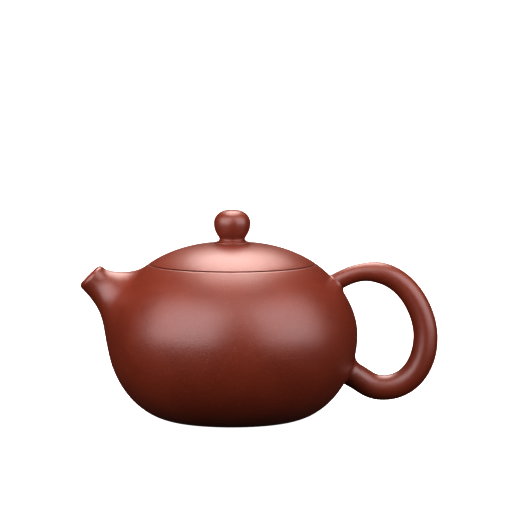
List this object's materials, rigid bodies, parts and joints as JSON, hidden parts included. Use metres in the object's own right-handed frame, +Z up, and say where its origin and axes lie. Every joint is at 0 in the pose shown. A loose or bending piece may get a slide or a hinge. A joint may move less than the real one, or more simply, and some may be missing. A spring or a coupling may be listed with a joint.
{
  "type": "yixing clay teapot",
  "caption": "Round unglazed purple-clay teapot with a stub spout, ear-shaped handle, ball strainer and a domed lid with a ball knob that lifts off.",
  "frame": {"origin": "middle of the base, in the plane of the standing ring", "axes": "+Z up along the axis of the pot and of the lid, the spout points towards -X and the handle towards +X"},
  "size_m": [0.1312, 0.092, 0.0774],
  "materials": {
    "clay": "satin"
  },
  "bodies": {
    "pot": {"base_disc": "clay", "body_wall": "clay", "shoulder_ring": "clay", "mouth_ring": "clay", "strainer": "clay", "spout": "clay", "handle": "clay"},
    "lid": {"lid_plate": "clay", "lid_flange": "clay", "knob_collar": "clay", "knob": "clay"}
  },
  "joints": [
    {"name": "lid_lift", "type": "slide", "parent": "pot", "child": "lid", "axis": [0, 0, 1], "range_m": [0, 0.06]}
  ]
}
